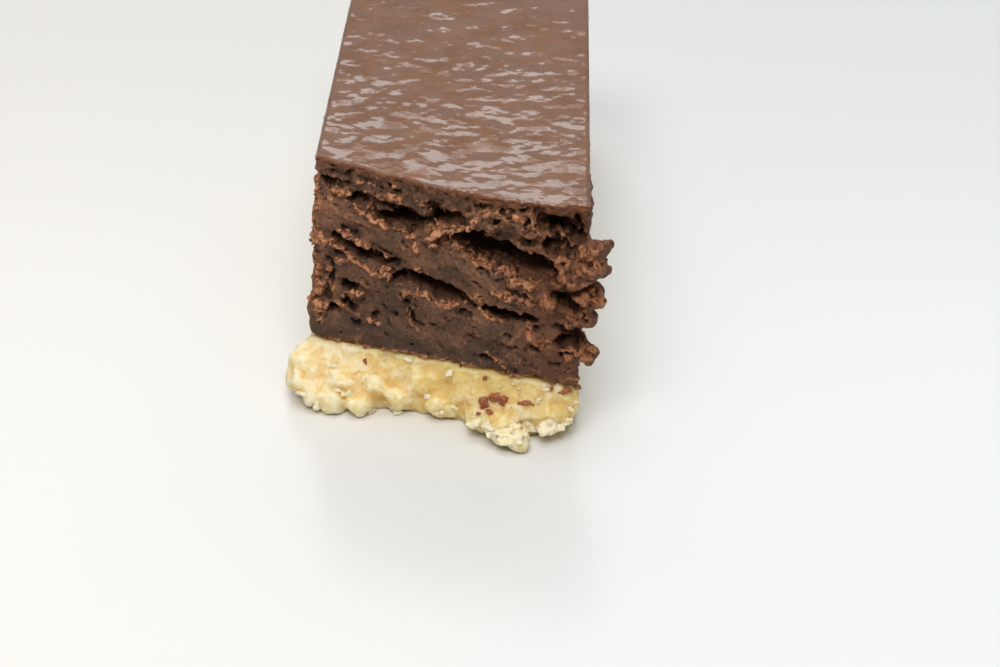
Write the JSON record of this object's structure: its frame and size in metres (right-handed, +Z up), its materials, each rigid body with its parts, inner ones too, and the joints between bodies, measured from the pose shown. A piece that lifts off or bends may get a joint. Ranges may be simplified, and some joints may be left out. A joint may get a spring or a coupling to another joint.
{
  "type": "chocolate brownie",
  "caption": "Finger of dense layered chocolate cake on a pale crumbly shortbread base, with one end broken off rough and skewed.",
  "frame": {"origin": "middle of the whole finger's footprint, on the surface it rests on", "axes": "+Y along the finger, from its broken end to its cut end; +X to the right as seen from the broken end; +Z up"},
  "size_m": [0.0424, 0.0946, 0.0317],
  "materials": {
    "chocolate_crumb": "moist dense cake crumb, with a thin semi-gloss baked skin on top",
    "shortbread": "dry crumbly baked shortbread"
  },
  "bodies": {
    "root": {"brownie": "chocolate_crumb", "shortbread_base": "shortbread"}
  },
  "joints": []
}
